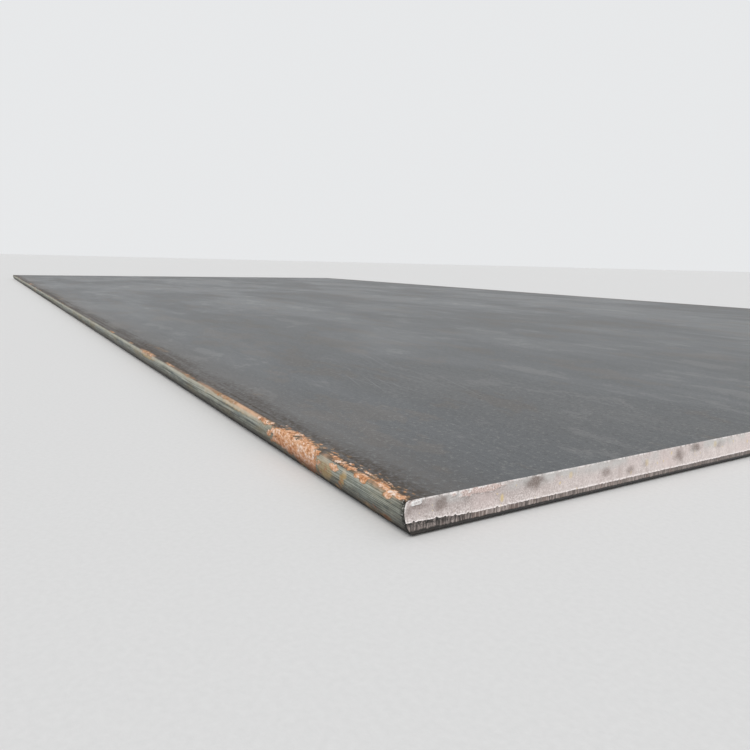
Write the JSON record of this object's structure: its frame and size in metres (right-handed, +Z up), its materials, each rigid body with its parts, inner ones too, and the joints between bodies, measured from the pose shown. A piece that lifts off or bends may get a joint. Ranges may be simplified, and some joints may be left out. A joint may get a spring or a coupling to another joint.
{
  "type": "hot-rolled steel plate",
  "caption": "Flat hot-rolled steel plate with rolled side edges, sheared ends, mill scale and rust, stock for cutting and welding.",
  "frame": {"origin": "middle of the underside", "axes": "+X along the length towards the pictured sheared end, +Y across the width away from the pictured rolled edge, +Z up"},
  "size_m": [2, 1, 0.0102],
  "materials": {
    "hot_rolled_steel": "matte"
  },
  "bodies": {
    "root": {"steel_plate": "hot_rolled_steel"}
  },
  "joints": []
}
